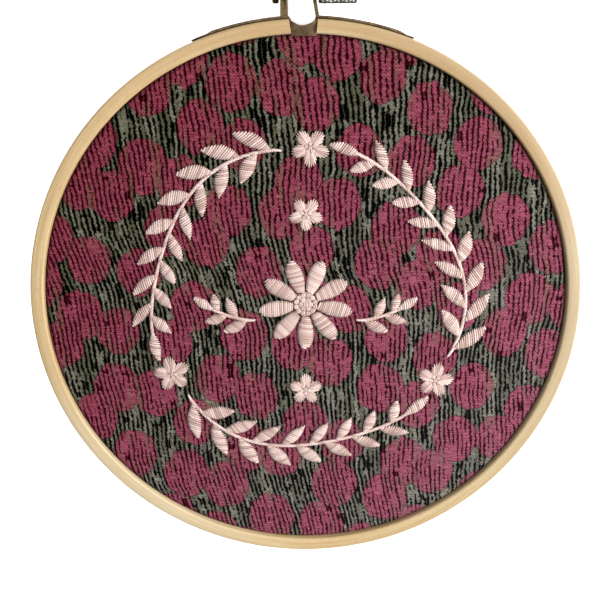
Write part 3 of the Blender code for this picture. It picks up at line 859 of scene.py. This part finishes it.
# %% Middle flower
PETALS = 9
PETAL_LONG = 16.0  # mm from the flower's middle
HALF_PETAL = math.radians(180.0 / PETALS)
stitches = []
for petal in range(PETALS):
    middle = math.radians(90.0 + 360.0 / PETALS * petal + 20.0)
    c, s = math.cos(middle), math.sin(middle)
    r = 4.7
    while r < 15.8:
        ends = []
        for edge in (-1, 1):
            at = r + edge * 0.35
            depth = max(0.0, (at / PETAL_LONG - 0.40) / 0.60)
            notch = math.asin(min(1.0, depth ** (1 / 0.7))) / (PETALS / 2)
            reach = (HALF_PETAL - notch) * at - 0.12 + random.uniform(-0.07, 0.07)
            ends.append((at, edge * max(0.05, reach)))
        turned = [(at * c - off * s, at * s + off * c) for at, off in ends]
        if math.dist(*turned) > 0.6:
            stitches.append((*turned[0], *turned[1], HALF, min(0.6, 0.16 * math.dist(*turned))))
        r += PITCH
sew("stitched_middle_flower", stitches, [], "daisy")

# %% The middle flower's eye
PADDING_R = 4.15
padding = []
for i in range(14):
    y = -3.9 + 0.6 * i
    x = math.sqrt(max(0.3, PADDING_R ** 2 - y * y))
    padding.append((-x, y, x, y, 0.36, 0.12))
knots = [(0.0, 0.0, 0.95, 0.95)]
for r, count, turned, lift in ((1.65, 6, 0.0, 0.92), (3.3, 12, 0.5, 0.85)):
    for i in range(count):
        a = 2 * math.pi * (i + turned) / count
        knots.append((r * math.cos(a), r * math.sin(a), 0.9, lift))
sew("knotted_eye", padding, knots, "daisy_eye")

# %% [markdown]
# ## Aged brass
#
# The clamp is pressed from brass-plated sheet, and the screw and nut are turned and cut. Such
# fittings are sold with an antique finish, a brown film that is thin on the raised parts and
# thick in the corners. So the metal is mixed from a worn and a dark tone by a slow noise and by
# which way each face looks, since the face is rubbed and the sides aren't. The faces that look
# left are painted lighter, as light, and a painted shadow darkens the metal where the strips
# meet the wood.

# %% Metal finish
AGED_BRASS, tree, shader = new_material(
    "antiqued_brass_plate",  # the tint keeps a slanting view of the film brown
    {"Metallic": 1.0, "Specular Tint": "#D6D2B4"})
place = add(tree, "TexCoord")
mm = add(tree, "Mapping", {"Vector": place.outputs["Object"], "Scale": IN_MM})
film = add(tree, "TexNoise", {"Vector": mm, "Scale": 0.55, "Detail": 4.0, "Roughness": 0.6})
speck = add(tree, "TexNoise", {"Vector": mm, "Scale": 5.0, "Detail": 2.0})
film = add(tree, "MapRange", {"Value": film, "From Min": 0.35, "From Max": 0.68})
facing = add(tree, "NewGeometry")
facing = add(tree, "SeparateXYZ", {"Vector": facing.outputs["Normal"]})
rubbed = add(tree, "MapRange", {"Value": facing.outputs["Z"], "From Max": 0.8,
                                "To Min": 0.75, "To Max": 0.0})
# Painted light: the faces that look left get less of the dark film.
painted_light_left_faces = add(tree, "MapRange", {"Value": facing.outputs["X"], "From Min": -0.9, "From Max": -0.5,
                                 "To Min": -0.6, "To Max": 0.0})  # painted light: what faces left is lighter
film = add(tree, "Math", {0: film, 1: rubbed}, operation="ADD")
film = add(tree, "Math", {0: film, 1: painted_light_left_faces}, operation="ADD", use_clamp=True)
brass = add(tree, "Mix", {"Factor": film, "A": "#79654D", "B": "#493B27"}, data_type="RGBA")
# Painted shadow: a dark band on the metal where the strips meet the wood.
across = add(tree, "Mapping", {"Vector": mm, "Location": (0.0, -HOOP_Y * 1000, 0.0),
                               "Scale": (1.0, 1.0, 0.0)})
from_middle = add(tree, "VectorMath", {0: across}, operation="LENGTH")
painted_gap_shadow = add(tree, "MapRange", {"Value": from_middle, "From Min": OUTER_R * 1000 + 0.25,
                                 "From Max": OUTER_R * 1000 + 0.45, "To Min": 0.75, "To Max": 0.0})
above = add(tree, "Math", {0: from_middle, 1: OUTER_R * 1000 - 0.4}, operation="GREATER_THAN")
painted_gap_shadow = add(tree, "Math", {0: painted_gap_shadow, 1: above}, operation="MULTIPLY")
brass = add(tree, "Mix", {"Factor": painted_gap_shadow, "A": brass, "B": "#2C211A"}, data_type="RGBA")
dull = add(tree, "MapRange", {"Value": film, "To Min": 0.34, "To Max": 0.58})
grain = add(tree, "Bump", {"Height": speck, "Strength": 0.25, "Distance": 0.00008})
feed(shader, {"Base Color": brass, "Roughness": dull, "Normal": grain})
print("aged brass has", len(tree.nodes), "nodes")

# %% Screw finish
DULL_NICKEL, tree, shader = new_material(
    "nickel_plate_dulled",  # a grey metal, dark in its grooves
    {"Metallic": 1.0, "Roughness": 0.33})
place = add(tree, "TexCoord")
mm = add(tree, "Mapping", {"Vector": place.outputs["Object"], "Scale": IN_MM,
                           "Location": (0.0, -SCREW_Y * 1000, -SCREW_Z * 1000)})
across = add(tree, "Mapping", {"Vector": mm, "Scale": (0.0, 1.0, 1.0)})
from_axis = add(tree, "VectorMath", {0: across}, operation="LENGTH")
groove = add(tree, "MapRange", {"Value": from_axis, "From Min": HEAD_R * 1000 - 0.36,
                                "From Max": HEAD_R * 1000 - 0.1})
tarnish = add(tree, "TexNoise", {"Vector": mm, "Scale": 0.9, "Detail": 3.0})
tarnish = add(tree, "MapRange", {"Value": tarnish, "From Min": 0.35, "From Max": 0.65})
clean = add(tree, "Mix", {"Factor": tarnish, "A": "#6A6A62", "B": "#ABABA0"}, data_type="RGBA")
nickel = add(tree, "Mix", {"Factor": groove, "A": "#33301F", "B": clean}, data_type="RGBA")
feed(shader, {"Base Color": nickel})
print("dulled nickel has", len(tree.nodes), "nodes")

# %% [markdown]
# ## The clamp
#
# One strip each side hugs the outer ring and stands up in an ear with a hole for the screw, and
# a curved piece bridges the split. Its shape is right in the solids, so a copy is taken, its
# loose triangles are joined into plates, and the edges are softened as a press leaves them.

# %% Pressed clamp
# In mm from the hoop's middle: the strips' ends beside the gap, and the apron's top and foot.
STRIP_LEFT, STRIP_RIGHT = -5.0, 3.2
APRON_TOP, APRON_FOOT = 93.2, 89.3
clamp = new_object("clamp_copy", bpy.data.objects["clamp"].data.copy())
choose(clamp)
bpy.ops.object.mode_set(mode="EDIT")
bpy.ops.mesh.select_all(action="SELECT")
bpy.ops.mesh.remove_doubles(threshold=2e-6)
bpy.ops.mesh.dissolve_limited(angle_limit=math.radians(1.0))
bpy.ops.object.mode_set(mode="OBJECT")
for v in clamp.data.vertices:  # strips and apron are pressed tight against the wood and the cloth
    x, y = v.co.x / MM, (v.co.y - HOOP_Y) / MM
    r = math.hypot(x, y)
    if (x < STRIP_LEFT or x > STRIP_RIGHT) and 0.1 < r - OUTER_R / MM < 0.45:
        near = (r - 0.27) / r
        v.co.x, v.co.y = v.co.x * near, HOOP_Y + (v.co.y - HOOP_Y) * near
    elif y < APRON_TOP:
        if y < APRON_FOOT:
            v.co.y -= 0.4 * MM
        if x < -4.3:
            v.co.x -= 0.22 * MM
        elif x > 2.9:
            v.co.x += 0.24 * MM
soften(clamp, "pressed_edges", 0.13 * MM, 2, 40)
apply_all(clamp)
dress(clamp, "pressed_clamp", 35, AGED_BRASS, "metal", "clamp")

# %% [markdown]
# ## The thumbscrew and its nut
#
# The screw is turned from bar: a threaded shaft and a long head with a knurled grip. A thread
# is one groove that winds round the shaft, so the shaft's points are pushed in by how far they
# are along the turn. A knurl is two sets of winding grooves that cross.

# %% Helpers for turned parts
def edit_edges():
    """Goes into edit mode, where edges are what is selected, with none selected."""
    bpy.ops.object.mode_set(mode="EDIT")
    bpy.ops.mesh.select_mode(type="EDGE")
    bpy.ops.mesh.select_all(action="DESELECT")


def on_axis(radius, left, right, around, ends="NGON"):
    """A cylinder on the screw's axis."""
    nothing_selected()
    bpy.ops.mesh.primitive_cylinder_add(
        vertices=around, radius=radius, depth=right - left, end_fill_type=ends,
        location=((left + right) / 2, SCREW_Y, SCREW_Z), rotation=SIDEWAYS)
    bpy.ops.object.transform_apply(location=True, rotation=True, scale=False)
    return bpy.context.object


def turned_rod(radius, left, right, around, rings):
    """An open rod on the screw's axis, with rings of points all along it."""
    rod = on_axis(radius, left, right, around, "NOTHING")
    edit_edges()
    bpy.ops.object.mode_set(mode="OBJECT")
    for edge in rod.data.edges:
        a, b = (rod.data.vertices[i].co.x for i in edge.vertices)
        edge.select = abs(a - b) > 1e-6
    bpy.ops.object.mode_set(mode="EDIT")
    bpy.ops.mesh.subdivide(number_cuts=rings)
    bpy.ops.object.mode_set(mode="OBJECT")
    return rod


def turn_of(co):
    """A point's angle round the screw's axis."""
    return math.atan2(co.z - SCREW_Z, co.y - SCREW_Y)


def pushed(co, depth):
    """Moves a point straight towards the screw's axis."""
    a, r = turn_of(co), math.hypot(co.y - SCREW_Y, co.z - SCREW_Z)
    co.y, co.z = SCREW_Y + (r - depth) * math.cos(a), SCREW_Z + (r - depth) * math.sin(a)


def close_ends(obj):
    """Fills the two open ends with a lid each."""
    choose(obj)
    edit_edges()
    bpy.ops.mesh.select_non_manifold()
    bpy.ops.mesh.edge_face_add()
    bpy.ops.mesh.select_all(action="SELECT")
    bpy.ops.mesh.normals_make_consistent(inside=False)
    bpy.ops.object.mode_set(mode="OBJECT")


# %% Threaded shaft
THREAD_PITCH, THREAD_DEEP = 0.8 * MM, 0.22 * MM
SHAFT_R = 1.5 * MM
HEAD_LEFT = 3.95 * MM
shaft = turned_rod(SHAFT_R, SCREW_LEFT, HEAD_LEFT + 0.2 * MM, 24, 100)
for v in shaft.data.vertices:
    turn_share = (v.co.x / THREAD_PITCH + turn_of(v.co) / (2 * math.pi)) % 1.0
    end = min(1.0, (v.co.x - SCREW_LEFT) / (0.6 * MM))
    pushed(v.co, THREAD_DEEP * abs(2 * turn_share - 1) + 0.35 * MM * (1 - end))
close_ends(shaft)
print("shaft", round(SHAFT_R * 2 / MM, 1), "mm across, pitch", round(THREAD_PITCH / MM, 1), "mm")

# %% Knurled head
KNURLS, KNURL_DEEP = 18, 0.4 * MM
PLAIN_END, END_ROUND = 0.5 * MM, 0.55 * MM
head = turned_rod(HEAD_R, HEAD_LEFT, SCREW_RIGHT, KNURLS * 8, 100)
for v in head.data.vertices:
    from_end = min(v.co.x - HEAD_LEFT, SCREW_RIGHT - v.co.x)
    lead = v.co.x / (2 * math.pi * HEAD_R / KNURLS)
    turned = KNURLS * turn_of(v.co) / (2 * math.pi)
    cross = min(abs(math.sin(math.pi * (turned + way * lead / 2))) for way in (1, -1))
    fade = min(1.0, max(0.0, (from_end - PLAIN_END) / (0.3 * MM)))
    rim = 1 - min(1.0, from_end / END_ROUND)
    round_over = END_ROUND * (1 - math.sqrt(max(0.0, 1 - rim ** 2)))
    pushed(v.co, KNURL_DEEP * fade * (1 - min(1.0, cross * 1.25)) + round_over)
close_ends(head)
choose(shaft)
head.select_set(True)
bpy.ops.object.join()
apply_all(shaft)
dress(shaft, "knurled_thumbscrew", 35, DULL_NICKEL, "metal", "screw")

# %% Hexagon nut
nut = on_axis(NUT_R, NUT_LEFT, NUT_RIGHT, 6)
bpy.ops.mesh.primitive_cylinder_add(vertices=32, radius=SHAFT_R + 0.05 * MM, depth=10 * MM,
                                    location=((NUT_LEFT + NUT_RIGHT) / 2, SCREW_Y, SCREW_Z),
                                    rotation=SIDEWAYS)
bore = bpy.context.object
cut_by(nut, "bore", bore)
soften(nut, "chamfer", 0.6 * MM, 3, 40)
apply_all(nut)
bpy.data.objects.remove(bore, do_unlink=True)
dress(nut, "hexagon_nut", 35, AGED_BRASS, "metal", "nut")
